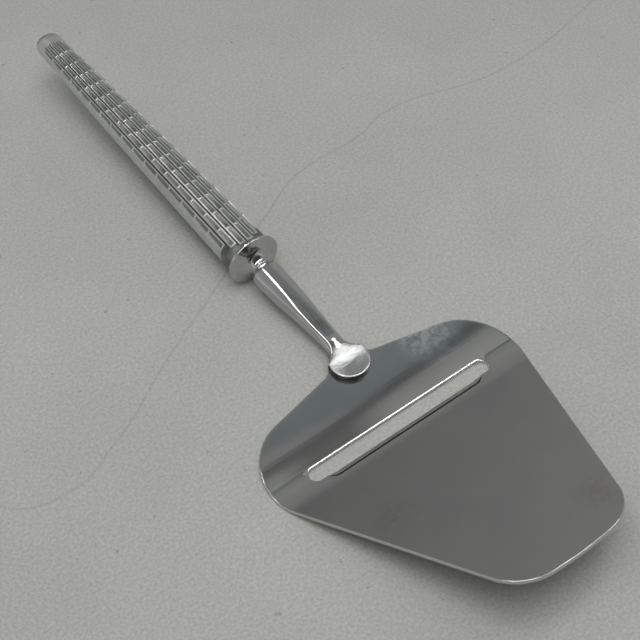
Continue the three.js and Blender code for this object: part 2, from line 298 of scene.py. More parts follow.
def cutSlot(piece):
    # the punch carries the rounding that it leaves on the slot's edge
    b = bladeShape
    half = pi / b["slotSides"]
    bpy.ops.mesh.primitive_cylinder_add(
        vertices=b["slotSides"], radius=slotRadius / cos(half), depth=b["punchDepth"],
        rotation=(0, 0, half), enter_editmode=True,
    )
    for inward, height in b["slotRound"]:
        for level in (height, -b["thickness"] - height):
            bpy.ops.mesh.select_all(action="SELECT")
            cutSelected((0, 0, level), (0, 0, 1))
    leaveEdit()
    bpy.ops.object.transform_apply(location=True, rotation=True, scale=True)
    punch = namePiece("slotPunch")
    for v in punch.data.vertices:
        out = Vector((v.co.x, v.co.y, 0)).normalized()
        rear = easeOf((v.co.y / slotRadius - b["slotRearShare"]) / b["slotRearRun"])
        height = max(v.co.z, -b["thickness"] - v.co.z)
        spread = b["slotRound"][-1][0]
        for inward, level in b["slotRound"]:
            if height < level + nearness["level"]:
                spread = inward
                break
        under = v.co.z < -b["thickness"] / 2
        share = b["slotFrontShare"] if under else mixOf(b["slotFrontShare"], 1, rear)
        end = Vector((slotStraight if v.co.x > 0 else -slotStraight, slotMiddle, 0))
        v.co += out * spread * share + end
    applyModifier(piece, "BOOLEAN", operation="DIFFERENCE", solver="EXACT", object=punch)
    bpy.data.objects.remove(punch)


def finishLip(piece):
    # the lip's edge is ground, and the crease in front of it lies in shade
    b = bladeShape
    for face in piece.data.polygons:
        x, y = face.center.xy
        inside = abs(x) < b["lipHalf"] - b["finishInset"] and b["lipCrease"] < y < b["lipEdge"]
        if inside and face.normal.z > b["finishFacing"]:
            face.material_index = b["groundIndex"] if y > b["lipGround"] else b["creaseIndex"]


def pressLip(piece, nextLine):
    # the lip in front of the slot is pressed down and ends in a thin edge
    b = bladeShape
    places = [b["lipHalf"] - b["lipRunIn"] * s / b["lipSteps"] for s in range(b["lipSteps"] + 1)]
    middle = b["lipHalf"] / b["lipSpans"]
    cuts = [((0, y, 0), (0, 1, 0)) for y, drop in b["lipProfile"][1:-1]]
    for x in places + [-x for x in places] + [0, middle, -middle]:
        cuts.append(((x, 0, 0), (1, 0, 0)))
    cutAlong(piece, cuts, b["lipCrease"] - nearness["line"], nextLine + nearness["line"])
    finishLip(piece)
    before, behind = b["lipSlack"]
    for v in piece.data.vertices:
        if abs(v.co.x) > b["lipHalf"] or not b["lipCrease"] - before < v.co.y < b["lipEdge"] + behind:
            continue
        press = easeOf((b["lipHalf"] - abs(v.co.x)) / b["lipRunIn"])
        drop = b["lipProfile"][-1][1]
        for (y0, drop0), (y1, drop1) in zip(b["lipProfile"], b["lipProfile"][1:]):
            if y0 <= v.co.y < y1:
                drop = mixOf(drop0, drop1, (v.co.y - y0) / (y1 - y0))
        along = min((v.co.y - b["lipCrease"]) / (b["lipEdge"] - b["lipCrease"]), 1)
        v.co.z *= mixOf(1, mixOf(1, b["lipThickness"], along), press)
        v.co.z -= drop * press
        # the lip narrows towards its ends
        narrow = mixOf(b["lipNarrow"], 1, easeOf((b["lipHalf"] - abs(v.co.x)) / b["lipTaper"]))
        if v.co.y < b["lipEdge"]:
            v.co.y = b["lipEdge"] - (b["lipEdge"] - v.co.y) * narrow


slicerBlade = makeBlade()
print("blade bent:", len(slicerBlade.data.polygons), "faces")


# shank: one ring is drawn out along the handle's axis, from the tang to the pad

shankShape = {
    "sides": 64,
    "wallSteps": 4,
    "edgeSteps": 5,
    "edgeShares": (0.95, 0.7),
    "smoothAngle": radians(40),
    # tang
    "tangLength": 46,
    "tangHalf": (2.6, 1.5),
    "tangTaper": 0.6,
    "tangTip": 1,
    "tangJoin": 0.01,
    "tangEdge": 0.3,
    # flange, trumpet and bead, each ring of the two lists with its place and its cut or radius
    "flangeThickness": 1,
    "flangeRadius": 7.5,
    "flangeRim": [(1, 0.22), (0.9, 0.06), (0.75, 0), (0.3, 0), (0.12, 0.07), (0.02, 0.22), (0, 0.3)],
    "neck": 3.2,
    "neckRadius": 2.35,
    "trumpetSteps": 12,
    "trumpetPower": 2.2,
    "bead": [(3.28, 2.52), (3.38, 2.68), (3.5, 2.76), (3.64, 2.76), (3.76, 2.68), (3.86, 2.52), (3.95, 2.38)],
    # stem
    "shoulder": 4.1,
    "shoulderRun": 1.6,
    "shoulderShares": (0.03, 0.1, 0.2, 0.34, 0.5, 0.7, 0.9),
    "stemSteps": 18,
    "stemHalf": (4.05, 3.5),
    "stemDrop": 0.3,
    "stemEdge": 1.6,
    "stemSquare": 0.9,
    "waist": 33.6,
    "waistHalf": 2.4,
    "waistRise": 0.6,
    "waistEdge": 0.95,
    "underEdge": 0.4,
    # pad: its seat, square and edge runs start at the waist
    "flare": [(34.2, 2.42), (34.8, 2.47), (35.4, 2.58), (36.0, 2.78), (36.5, 3.04), (37.0, 3.4),
              (37.4, 3.78), (37.8, 4.23), (38.1, 4.62), (38.35, 4.97), (38.55, 5.23), (38.75, 5.36)],
    "padCentre": 40.25,
    "padRadius": 5.35,
    "padTurns": (-14, 90, 6),
    "padThickness": 1.43,
    "padSeat": 0.3,
    "padSink": 0.02,
    "padEdge": 0.32,
    "padSweep": 1.15,
    "sweepPast": 2.4,
    "sweepPower": 1.9,
    "seatRun": 1.6,
    "squareRun": 4.2,
    "edgeRun": 4.6,
    "padDish": 0.12,
    "dishLead": 2.5,
    "dishRun": 3,
    # throat: how much it is crowned, and where the crown comes and goes along the axis
    "throatCrown": 0.3,
    "crownRun": 4,
    "crownEnd": 1.5,
    # brushed top and shaded sides of the pad, by their place in the shank's list of materials
    "brushedFrom": 2.4,
    "brushedFacing": 0.35,
    "brushedIndex": 1,
    "shadedIndex": 2,
}


def plateUnder(y):
    # height of the blade's rear plate over the handle's axis, at y along the handle
    turn = -placing["handleAngle"]
    dy = foldEnd - placing["flangeCentre"][1]
    dz = foldRise - placing["flangeCentre"][2]
    footY = dy * cos(turn) - dz * sin(turn)
    footZ = dy * sin(turn) + dz * cos(turn)
    return footZ + (y - footY) * tan(bladeShape["foldAngle"] - placing["handleAngle"])


# each ring: y, half width, top, bottom, squareness, edge radius

def roundRing(y, radius):
    return (y, radius, radius, -radius, 0, 1)


def tangRings():
    s = shankShape
    startY = s["flangeThickness"] + s["tangJoin"]
    endY = s["flangeThickness"] + s["tangLength"]
    rings = []
    for y, share in ((endY, s["tangTaper"]), (endY - s["tangTip"], s["tangTaper"]), (startY, 1)):
        halfWidth, halfHeight = s["tangHalf"][0] * share, s["tangHalf"][1] * share
        rings.append((y, halfWidth, halfHeight, -halfHeight, 1, s["tangEdge"]))
    return rings


def turnedRings():
    s = shankShape
    rings = [roundRing(y, s["flangeRadius"] - cut) for y, cut in s["flangeRim"]]
    outer = s["flangeRadius"] - s["flangeRim"][-1][1]
    for step in range(1, s["trumpetSteps"] + 1):
        share = step / s["trumpetSteps"]
        radius = mixOf(outer, s["neckRadius"], 1 - (1 - share) ** s["trumpetPower"])
        rings.append(roundRing(-s["neck"] * share, radius))
    rings += [roundRing(-y, radius) for y, radius in s["bead"]]
    rings.append(roundRing(-s["shoulder"], s["neckRadius"]))
    return rings


def stemRings():
    # the stem swells out of the neck, then slims and squares up towards the waist
    s = shankShape
    rings = []
    for share in s["shoulderShares"]:
        swell = sqrt(1 - (1 - share) ** 2)
        halfWidth = mixOf(s["neckRadius"], s["stemHalf"][0], swell)
        halfHeight = mixOf(s["neckRadius"], s["stemHalf"][1], swell)
        drop = s["stemDrop"] * swell
        y = -s["shoulder"] - s["shoulderRun"] * share
        rings.append((y, halfWidth, halfHeight - drop, -halfHeight - drop, 0, 1))
    startY = s["shoulder"] + s["shoulderRun"]
    for step in range(s["stemSteps"] + 1):
        share = step / s["stemSteps"]
        y = -mixOf(startY, s["waist"], share)
        slim = easeOf(share)
        padTop = plateUnder(y) + s["padSeat"] + s["padThickness"]
        top = mixOf(s["stemHalf"][1] - s["stemDrop"], padTop + s["padSweep"], slim)
        bottom = mixOf(-s["stemHalf"][1] - s["stemDrop"], padTop - s["padThickness"] - s["waistRise"], slim)
        halfWidth = mixOf(s["stemHalf"][0], s["waistHalf"], slim)
        edge = mixOf(s["stemEdge"], s["waistEdge"], slim)
        rings.append((y, halfWidth, top, bottom, slim * s["stemSquare"], edge))
    return rings


def padRings():
    # the pad flares out of the waist and ends in an arc
    s = shankShape
    spread = list(s["flare"])
    for turn in range(*s["padTurns"]):
        angle = radians(turn)
        spread.append((s["padCentre"] + s["padRadius"] * sin(angle), s["padRadius"] * cos(angle)))
    rings = []
    for y, halfWidth in spread:
        past = y - s["waist"]
        padTop = plateUnder(-y) + s["padSeat"] + s["padThickness"]
        sweep = 1 - min(past / (s["padCentre"] + s["sweepPast"] - s["waist"]), 1)
        top = padTop + s["padSweep"] * sweep ** s["sweepPower"]
        waistBottom = padTop - s["padThickness"] - s["waistRise"]
        bottom = mixOf(waistBottom, plateUnder(-y) - s["padSink"], easeOf(past / s["seatRun"]))
        square = mixOf(s["stemSquare"], 1, easeOf(past / s["squareRun"]))
        edge = mixOf(s["waistEdge"], s["padEdge"], easeOf(past / s["edgeRun"]))
        rings.append((-y, halfWidth, top, bottom, square, edge))
    return rings


def ringPoint(ring, index):
    s = shankShape
    y, halfWidth, top, bottom, square, edge = ring
    quarter = s["sides"] // 4
    step = index % quarter
    corner = index // quarter
    if corner % 2:
        step = quarter - step
    sideX = 1 if corner in (0, 3) else -1
    over = corner < 2
    middle = (top + bottom) / 2
    turn = step / quarter * pi / 2
    reach = (top if over else bottom) - middle
    rounded = Vector((sideX * halfWidth * cos(turn), y, middle + reach * sin(turn)))
    edge = min(edge, abs(reach) * s["edgeShares"][0], halfWidth * s["edgeShares"][1])
    if not over:
        edge = min(edge, s["underEdge"])
    height = abs(reach)
    if step <= s["wallSteps"]:
        x, lift = halfWidth, (height - edge) * step / s["wallSteps"]
    elif step <= s["wallSteps"] + s["edgeSteps"]:
        bend = (step - s["wallSteps"]) / s["edgeSteps"] * pi / 2
        x, lift = halfWidth - edge + edge * cos(bend), height - edge + edge * sin(bend)
    else:
        rest = (step - s["wallSteps"] - s["edgeSteps"]) / (quarter - s["wallSteps"] - s["edgeSteps"])
        x, lift = (halfWidth - edge) * (1 - rest), height
    # the throat of the pad is crowned across
    past = abs(y) - s["waist"]
    come = easeOf((past + s["crownRun"]) / s["crownRun"])
    go = easeOf((past - s["crownEnd"]) / s["crownRun"])
    if over and step > s["wallSteps"]:
        lift -= s["throatCrown"] * (come * (1 - go)) * (x / halfWidth) ** 2
    # the pad's top is dished a little and rounded over at the rim
    dishY = s["dishLead"] - s["padCentre"]
    if over and y < dishY:
        inside = hypot(x, y + s["padCentre"])
        fromRim = s["padRadius"] - inside
        if y < -s["padCentre"] and step > s["wallSteps"] and fromRim < s["padEdge"]:
            lift = height - s["padEdge"] + sqrt(max(0, s["padEdge"] ** 2 - (s["padEdge"] - fromRim) ** 2))
        if fromRim > s["padEdge"]:
            share = inside / (s["padRadius"] - s["padEdge"])
            lift -= s["padDish"] * easeOf((dishY - y) / s["dishRun"]) * (1 - share ** 2)
    boxed = Vector((sideX * x, y, middle + (lift if over else -lift)))
    return rounded.lerp(boxed, square)


def makeShank():
    s = shankShape
    first, *others = tangRings() + turnedRings() + stemRings() + padRings()
    bpy.ops.mesh.primitive_circle_add(
        vertices=s["sides"], radius=1, fill_type="NGON", enter_editmode=True,
    )
    piece = namePiece("slicerShank")
    editMesh = bmesh.from_edit_mesh(piece.data)
    order = editMesh.verts.layers.int.new("order")
    editMesh.verts.ensure_lookup_table()
    for index, v in enumerate(editMesh.verts):
        v[order] = index
        v.co = ringPoint(first, index)
    bmesh.update_edit_mesh(piece.data)
    for ring in others:
        bpy.ops.mesh.extrude_region_move(TRANSFORM_OT_translate={"value": (0, 0, 0)})
        editMesh = bmesh.from_edit_mesh(piece.data)
        order = editMesh.verts.layers.int["order"]
        for v in editMesh.verts:
            if v.select:
                v.co = ringPoint(ring, v[order])
        bmesh.update_edit_mesh(piece.data)
    faceOutwards()
    leaveEdit()
    for face in piece.data.polygons:
        if face.center.y < -s["waist"] - s["brushedFrom"]:
            brushed = face.normal.z > s["brushedFacing"]
            face.material_index = s["brushedIndex"] if brushed else s["shadedIndex"]
    bpy.ops.object.shade_smooth_by_angle(angle=s["smoothAngle"])
    placePiece(piece, handlePlace)
    return piece


slicerShank = makeShank()
print("shank drawn out:", len(slicerShank.data.polygons), "faces")


# handle: a half shell is laid out as a grid, its pockets and grooves are sunk
# and its rungs raised, and an inner wall is bridged to it

handleShape = {
    "mouth": 1.01,
    "length": 108.11,   # a hair short, so that the butt stays within the solid's
    "mouthHalf": 6.36,
    "buttHalf": 3.85,
    "bow": 0.22,
    "depthShare": 0.82,
    "power": 2.3,
    "sectionSteps": 180,
    "wall": 0.8,
    "seam": 0.005,
    "buttRound": 3.2,
    "buttPower": 2.6,
    "buttShares": (0.14, 0.3, 0.45, 0.6, 0.73, 0.84, 0.92, 0.97, 1),
    # ladders, side by side from seam to seam, and the rows of rungs along them
    "ladders": 6,
    "rows": 16,
    "ladderStart": 3.04,
    "ladderEnd": 101.97,
    "mouthRow": 0.25,
    "mouthShare": 0.4,
    "sideSteps": 7,
    "pitchShare": 0.1257,
    "spreadShare": 0.0007,
    "rowSpread": 0.0766,
    "rowBow": 0.56,
    "bowPower": 2.5,
    # stamped relief
    "rung": 0.5,
    "rungBead": [(0.07, 0.045), (0.07, 0.026), (0.06, 0.01)],
    "pocketShare": 0.46,
    "grooveShare": 0.22,
    "pocketDepth": 0.3,
    "grooveDepth": 0.22,
    "slope": 0.06,
    "edgeRound": 0.07,
    "edgeSegments": 2,
    "sharpAngle": radians(42),
    "smoothAngle": radians(46),
}
# the shell's list of materials
shellFinishes = ("plate", "pocket", "groove", "bead", "darkMouth")


def handleHalf(y):
    h = handleShape
    along = min(max((y - h["mouth"]) / (h["length"] - h["mouth"]), 0), 1)
    return mixOf(h["mouthHalf"], h["buttHalf"], along) + h["bow"] * sin(pi * along)


def measureSection():
    # lengths along the section from its top, each with its place across, for a half width of 1
    h = handleShape
    lengths = [(0, 0)]
    down = h["depthShare"]
    for step in range(1, h["sectionSteps"] + 1):
        turn = step / h["sectionSteps"] * pi / 2
        across = sin(turn) ** (2 / h["power"])
        nextDown = h["depthShare"] * abs(cos(turn)) ** (2 / h["power"])
        lengths.append((lengths[-1][0] + hypot(across - lengths[-1][1], nextDown - down), across))
        down = nextDown
    return lengths


sectionLengths = measureSection()


def acrossAt(column):
    # columns are counted from the middle groove, and the outer ladders are a little wider
    h = handleShape
    share = h["pitchShare"] * abs(column) + h["spreadShare"] * abs(column) ** 3
    length = share * 2 * sectionLengths[-1][0]
    for (low, lowAcross), (high, highAcross) in zip(sectionLengths, sectionLengths[1:]):
        if length <= high:
            across = mixOf(lowAcross, highAcross, (length - low) / (high - low))
            return across if column > 0 else -across
    return 1


def gridLines():
    h = handleShape
    pocket, groove = h["pocketShare"] / 2, 0.5 - h["grooveShare"] / 2
    outermost = (h["ladders"] - 1) / 2
    columns = []
    for ladder in range(h["ladders"]):
        centre = ladder - outermost
        columns += [("on", centre + off, centre) for off in (-groove, -pocket, pocket, groove)]
    sides = [step / h["sideSteps"] for step in range(h["sideSteps"])]
    columns = [("left", share, -outermost) for share in sides] + columns
    columns += [("right", share, outermost) for share in reversed(sides)]
    plain = (h["mouth"], h["mouth"] + h["mouthRow"], mixOf(h["mouth"], h["ladderStart"], h["mouthShare"]))
    rows = [("plain", y) for y in plain]
    for row in range(h["rows"] + 1):
        share = row / h["rows"]
        rung = mixOf(h["ladderStart"], h["ladderEnd"], share * (1 + h["rowSpread"] * (1 - share)))
        rows += [("rung", rung - h["rung"] / 2), ("rung", rung + h["rung"] / 2)]
    roundY = h["length"] - h["buttRound"]
    rows += [("butt", mixOf(roundY, h["length"], share)) for share in h["buttShares"]]
    return columns, rows


def shellPoint(column, row, inset):
    h = handleShape
    rowKind, y = row
    half = handleHalf(y)
    roundY = h["length"] - h["buttRound"]
    roundShare = (y - roundY) / h["buttRound"]
    shrink = 1
    if rowKind == "butt":
        shrink = (1 - min(roundShare, 1) ** h["buttPower"]) ** (1 / h["buttPower"])
    width, depth = half, half * h["depthShare"]
    outerLine = h["ladders"] / 2 - h["grooveShare"] / 2
    kind, place, ladder = column
    if kind == "on":
        across = acrossAt(place)
        turn = acos(abs(across) ** (h["power"] / 2))
        side = 1 if across > 0 else -1
    else:
        turn = acos(acrossAt(outerLine) ** (h["power"] / 2)) * place
        side = 1 if kind == "right" else -1
    width, depth = (width - inset) * shrink, (depth - inset) * shrink
    x = side * width * cos(turn) ** (2 / h["power"])
    z = depth * sin(turn) ** (2 / h["power"])
    z = h["seam"] + z * (1 - h["seam"] / max(depth, h["seam"]))
    if rowKind == "rung":
        along = min(max((y - h["ladderStart"]) / (h["ladderEnd"] - h["ladderStart"]), 0), 1)
        y += h["rowBow"] * (1 - along ** h["bowPower"]) * ladder ** 2
    if inset:
        y = min(y, h["length"] - inset)
        if rowKind == "butt":
            y = mixOf(roundY, h["length"] - inset, roundShare)
    return Vector((x, y, z))


def layGrid(name, inset):
    # also gives the column and row of each face
    columns, rows = gridLines()
    bpy.ops.mesh.primitive_grid_add(x_subdivisions=len(columns) - 1, y_subdivisions=len(rows) - 1, size=2)
    piece = namePiece(name)
    for v in piece.data.vertices:
        column = round((v.co.x + 1) / 2 * (len(columns) - 1))
        row = round((v.co.y + 1) / 2 * (len(rows) - 1))
        v.co = Vector((column, row, 0))
    cells = {}
    for face in piece.data.polygons:
        cells[face.index] = (int(face.center.x), int(face.center.y))
    for v in piece.data.vertices:
        v.co = shellPoint(columns[round(v.co.x)], rows[round(v.co.y)], inset)
    return piece, columns, rows, cells


def sortCells(columns, rows, cells):
    # of a ladder's lines, the second and third bound its pockets and rungs,
    # and the groove beside it follows the last
    h = handleShape
    ladderLines = 4
    firstRung = [kind for kind, y in rows].index("rung")
    pockets, grooves, rungs, mouth = set(), set(), set(), set()
    for face, (column, row) in cells.items():
        if row < firstRung:
            mouth.add(face)
        place = column - h["sideSteps"]
        if not 0 <= place < len(columns) - 2 * h["sideSteps"] - 1:
            continue
        if rows[row][0] != "rung" or rows[row + 1][0] != "rung":
            continue
        onRung = (row - firstRung) % 2 == 0
        onLadder = place % ladderLines == 1
        if onLadder and not onRung:
            pockets.add(face)
        if onLadder and onRung and firstRung < row < firstRung + 2 * h["rows"]:
            rungs.add(face)
        if place % ladderLines == ladderLines - 1:
            grooves.add(face)
    return pockets, grooves, rungs, mouth


def stampFaces(piece, chosen, finish, steps):
    # the chosen faces are drawn in and moved in or out, step by step
    for part in (piece.data.polygons, piece.data.vertices, piece.data.edges):
        for element in part:
            element.select = False
    selectOnly(piece)
    bpy.context.tool_settings.mesh_select_mode = (False, False, True)
    for face in chosen:
        piece.data.polygons[face].select = True
    bpy.ops.object.mode_set(mode="EDIT")
    for thickness, depth in steps:
        bpy.ops.mesh.inset(thickness=thickness, depth=depth, use_boundary=True)
    editMesh = bmesh.from_edit_mesh(piece.data)
    for face in editMesh.faces:
        if face.select:
            face.material_index = shellFinishes.index(finish)
    bmesh.update_edit_mesh(piece.data)
    leaveEdit()


def closeShell(piece, inner):
    editPiece(inner)
    bpy.ops.mesh.select_all(action="SELECT")
    bpy.ops.mesh.flip_normals()
    leaveEdit()
    selectOnly(piece, inner)
    bpy.ops.object.join()
    editPiece(piece)
    bpy.ops.mesh.select_all(action="SELECT")
    bpy.ops.mesh.remove_doubles(threshold=nearness["shellMerge"])
    bpy.ops.mesh.select_all(action="DESELECT")
    bpy.context.tool_settings.mesh_select_mode = (False, True, False)
    bpy.ops.mesh.select_non_manifold(extend=False, use_wire=True, use_boundary=True,
                                     use_multi_face=False, use_non_contiguous=False, use_verts=False)
    bpy.ops.mesh.bridge_edge_loops()
    faceOutwards()
    leaveEdit()


def makeHalfShell(name, materials):
    h = handleShape
    piece, columns, rows, cells = layGrid(name, 0)
    for finish in shellFinishes:
        piece.data.materials.append(materials[finish])
    pockets, grooves, rungs, mouth = sortCells(columns, rows, cells)
    # the plain band at the mouth, by the flange, is given a darker, mottled silver
    for face in mouth:
        piece.data.polygons[face].material_index = shellFinishes.index("darkMouth")
    stampFaces(piece, pockets, "pocket", [(h["slope"], -h["pocketDepth"])])
    stampFaces(piece, grooves, "groove", [(h["slope"], -h["grooveDepth"])])
    stampFaces(piece, rungs, "bead", h["rungBead"])
    editPiece(piece)
    bpy.context.tool_settings.mesh_select_mode = (False, True, False)
    bpy.ops.mesh.edges_select_sharp(sharpness=h["sharpAngle"])
    bpy.ops.mesh.bevel(
        offset=h["edgeRound"], segments=h["edgeSegments"], affect="EDGES", clamp_overlap=True,
    )
    leaveEdit()
    inner = layGrid(name + "Inner", h["wall"])[0]
    closeShell(piece, inner)
    bpy.ops.object.shade_smooth_by_angle(angle=h["smoothAngle"])
    return piece


# materials

# where a Mix node keeps its factor, its two colours and what comes out
mixSockets = {"factor": 0, "first": 6, "second": 7, "mixed": 2}


def newMaterial(name):
    material = bpy.data.materials.new(name)
    material.use_nodes = True
    material.node_tree.nodes.clear()
    output = material.node_tree.nodes.new("ShaderNodeOutputMaterial")
    shader = material.node_tree.nodes.new("ShaderNodeBsdfPrincipled")
    material.node_tree.links.new(shader.outputs["BSDF"], output.inputs["Surface"])
    return material, material.node_tree, shader


def addNode(tree, kind, **settings):
    # a setting is one of the node's options or the value of one of its inputs
    node = tree.nodes.new("ShaderNode" + kind)
    for name, value in settings.items():
        if hasattr(node, name):
            setattr(node, name, value)
        else:
            node.inputs[name].default_value = value
    return node


def objectPlace(tree, scale=(1, 1, 1), turn=(0, 0, 0)):
    coordinates = addNode(tree, "TexCoord")
    mapping = addNode(tree, "Mapping", Scale=scale, Rotation=turn)
    tree.links.new(coordinates.outputs["Object"], mapping.inputs["Vector"])
    return mapping.outputs["Vector"]


def addNoise(tree, place, scale, detail, roughness):
    noise = addNode(tree, "TexNoise", Scale=scale, Detail=detail, Roughness=roughness)
    tree.links.new(place, noise.inputs["Vector"])
    return noise.outputs["Fac"]


def addRamp(tree, factor, stops):
    ramp = addNode(tree, "ValToRGB")
    elements = ramp.color_ramp.elements
    while len(elements) < len(stops):
        elements.new(0.5)
    for element, (position, value) in zip(elements, stops):
        element.position = position
        element.color = (*value, 1) if hasattr(value, "__len__") else (value, value, value, 1)
    tree.links.new(factor, ramp.inputs["Fac"])
    return ramp.outputs["Color"]


def addRange(tree, value, fromSpan, toSpan):
    node = addNode(tree, "MapRange")
    for name, limit in zip(("From Min", "From Max", "To Min", "To Max"), (*fromSpan, *toSpan)):
        node.inputs[name].default_value = limit
    tree.links.new(value, node.inputs["Value"])
    return node.outputs["Result"]


def addMath(tree, operation, *values):
    node = addNode(tree, "Math", operation=operation)
    for value, socket in zip(values, node.inputs):
        tree.links.new(value, socket)
    return node.outputs["Value"]


def addVectorMath(tree, operation, vector, fixed):
    node = addNode(tree, "VectorMath", operation=operation)
    tree.links.new(vector, node.inputs[0])
    node.inputs[1].default_value = fixed
    return node.outputs["Value"]


def mixColours(tree, factor, first, second, blend="MIX"):
    # the factor and the second colour may be fixed values
    mix = addNode(tree, "Mix", data_type="RGBA", blend_type=blend)
    for name, value in (("factor", factor), ("first", first), ("second", second)):
        socket = mix.inputs[mixSockets[name]]
        if isinstance(value, bpy.types.NodeSocket):
            tree.links.new(value, socket)
        else:
            socket.default_value = value
    return mix.outputs[mixSockets["mixed"]]


def addBump(tree, shader, height, strength, distance=0.0001):
    bump = addNode(tree, "Bump", Strength=strength, Distance=distance)
    tree.links.new(height, bump.inputs["Height"])
    tree.links.new(bump.outputs["Normal"], shader.inputs["Normal"])


bladeFinish = {
    "tone": [(0.3, (0.56, 0.57, 0.555)), (0.7, (0.61, 0.62, 0.6))],
    "roughness": [(0.3, 0.025), (0.7, 0.042)],
    "streaks": (40, 1400, 40),
    "streakDepth": 0.008,
    # two brown stains on the front plate and a painted highlight behind the slot: place, reach, tone,
    # strength
    "stainsAndHighlight": [
        ((-0.0206, -0.077, 0.0072), 0.006, (0.42, 0.34, 0.24, 1), 0.42),
        ((0.0145, -0.1042, 0.0156), 0.007, (0.4, 0.32, 0.22, 1), 0.42),
        ((0.0208, -0.0375, 0.0027), 0.01, (1, 1, 1, 1), 1.7),
    ],
    "markStops": [(0.38, 0), (0.6, 1)],
}


def makeBladeSteel():
    material, tree, shader = newMaterial("bladeSteel")
    shader.inputs["Metallic"].default_value = 1
    place = objectPlace(tree)
    stretched = objectPlace(tree, scale=bladeFinish["streaks"])
    streaks = addNoise(tree, stretched, scale=1, detail=3, roughness=0.6)
    cloud = addNoise(tree, place, scale=60, detail=3, roughness=0.5)
    blotch = addNoise(tree, place, scale=420, detail=4, roughness=0.65)
    patchy = addRamp(tree, blotch, bladeFinish["markStops"])
    colour = addRamp(tree, cloud, bladeFinish["tone"])
    # brown stains, and behind the slot a white patch painted on as a highlight
    for spot, reach, tone, strength in bladeFinish["stainsAndHighlight"]:
        distance = addVectorMath(tree, "DISTANCE", place, spot)
        spread = addRange(tree, distance, (0, reach), (strength, 0))
        colour = mixColours(tree, addMath(tree, "MULTIPLY", spread, patchy), colour, tone)
    tree.links.new(colour, shader.inputs["Base Color"])
    tree.links.new(addRamp(tree, cloud, bladeFinish["roughness"]), shader.inputs["Roughness"])
    addBump(tree, shader, streaks, bladeFinish["streakDepth"])
    return material


steelTone = [(0.3, (0.47, 0.475, 0.47)), (0.7, (0.53, 0.535, 0.53))]


def makePolishedSteel(name, smooth, rough, scale, turn, depth):
    # scale and turn give the run of the scratches
    material, tree, shader = newMaterial(name)
    shader.inputs["Metallic"].default_value = 1
    cloud = addNoise(tree, objectPlace(tree), scale=250, detail=4, roughness=0.6)
    stretched = objectPlace(tree, scale=scale, turn=turn)
    scratches = addNoise(tree, stretched, scale=1, detail=4, roughness=0.7)
    tree.links.new(addRamp(tree, cloud, steelTone), shader.inputs["Base Color"])
    roughness = addRamp(tree, cloud, [(0.35, smooth), (0.75, rough)])
    tree.links.new(roughness, shader.inputs["Roughness"])
    addBump(tree, shader, scratches, depth)
    return material


def makeSilver(name, dark, light, rough, spread=0.08):
    material, tree, shader = newMaterial(name)
    shader.inputs["Metallic"].default_value = 1
    cloud = addNoise(tree, objectPlace(tree), scale=320, detail=4, roughness=0.6)
    grain = addNoise(tree, objectPlace(tree), scale=5200, detail=2, roughness=0.5)
    tree.links.new(addRamp(tree, cloud, [(0.3, dark), (0.7, light)]), shader.inputs["Base Color"])
    roughness = addRamp(tree, cloud, [(0.3, rough), (0.7, rough + spread)])
    tree.links.new(roughness, shader.inputs["Roughness"])
    addBump(tree, shader, grain, strength=0.08)
    return material


resinTone = [(0.3, (0.2, 0.19, 0.17)), (0.7, (0.3, 0.28, 0.25))]


def makeResin():
    material, tree, shader = newMaterial("castResin")
    cloud = addNoise(tree, objectPlace(tree), scale=180, detail=5, roughness=0.6)
    tree.links.new(addRamp(tree, cloud, resinTone), shader.inputs["Base Color"])
    shader.inputs["Roughness"].default_value = 0.85
    addBump(tree, shader, cloud, strength=0.3)
    return material


floorFinish = {
    "tone": [(0.35, (0.405, 0.41, 0.385)), (0.65, (0.45, 0.455, 0.43))],
    "speckle": [(0.3, 0.84), (0.7, 1.13)],
    "pits": [(0.24, 0.72), (0.3, 1)],
    # a thin vein wanders through the stone
    "veinX": (-0.09, 0.15),
    "veinY": (-0.03, 0.05),
    "veinCourse": [
        (-0.088, -0.0135), (-0.073, -0.0204), (-0.0593, -0.0159), (-0.032, -0.0003),
        (-0.0056, 0.0136), (0.0178, 0.0258), (0.0332, 0.0327), (0.0557, 0.034),
        (0.0675, 0.0371), (0.1056, 0.0295), (0.148, 0.0357),
    ],
    "veinWidth": 0.0006,
    "veinTone": 0.84,
}


def addVein(tree, place):
    # darkens the stone near a curve that runs along X
    f = floorFinish
    axes = addNode(tree, "SeparateXYZ")
    tree.links.new(place, axes.inputs["Vector"])
    along = addRange(tree, axes.outputs["X"], f["veinX"], (0, 1))
    course = addNode(tree, "FloatCurve")
    curve = course.mapping.curves[0]
    lowX, highX = f["veinX"]
    lowY, highY = f["veinY"]
    for x, y in f["veinCourse"]:
        curve.points.new((x - lowX) / (highX - lowX), (y - lowY) / (highY - lowY))
    curve.points.remove(curve.points[0])
    curve.points.remove(curve.points[-1])
    course.mapping.update()
    tree.links.new(along, course.inputs["Value"])
    middle = addRange(tree, course.outputs["Value"], (0, 1), f["veinY"])
    gap = addMath(tree, "ABSOLUTE", addMath(tree, "SUBTRACT", axes.outputs["Y"], middle))
    return addRange(tree, gap, (0, f["veinWidth"]), (f["veinTone"], 1))


def makeStone():
    material, tree, shader = newMaterial("paleFloor")
    place = objectPlace(tree)
    cloud = addNoise(tree, place, scale=14, detail=4, roughness=0.6)
    grain = addNoise(tree, place, scale=1300, detail=3, roughness=0.6)
    pits = addNoise(tree, place, scale=420, detail=2, roughness=0.5)
    ground = addRamp(tree, cloud, floorFinish["tone"])
    speckle = addRamp(tree, grain, floorFinish["speckle"])
    dark = addRamp(tree, pits, floorFinish["pits"])
    for layer in (speckle, dark, addVein(tree, place)):
        ground = mixColours(tree, 1, ground, layer, "MULTIPLY")
    tree.links.new(ground, shader.inputs["Base Color"])
    shader.inputs["Roughness"].default_value = 0.75
    addBump(tree, shader, grain, strength=0.15)
    return material


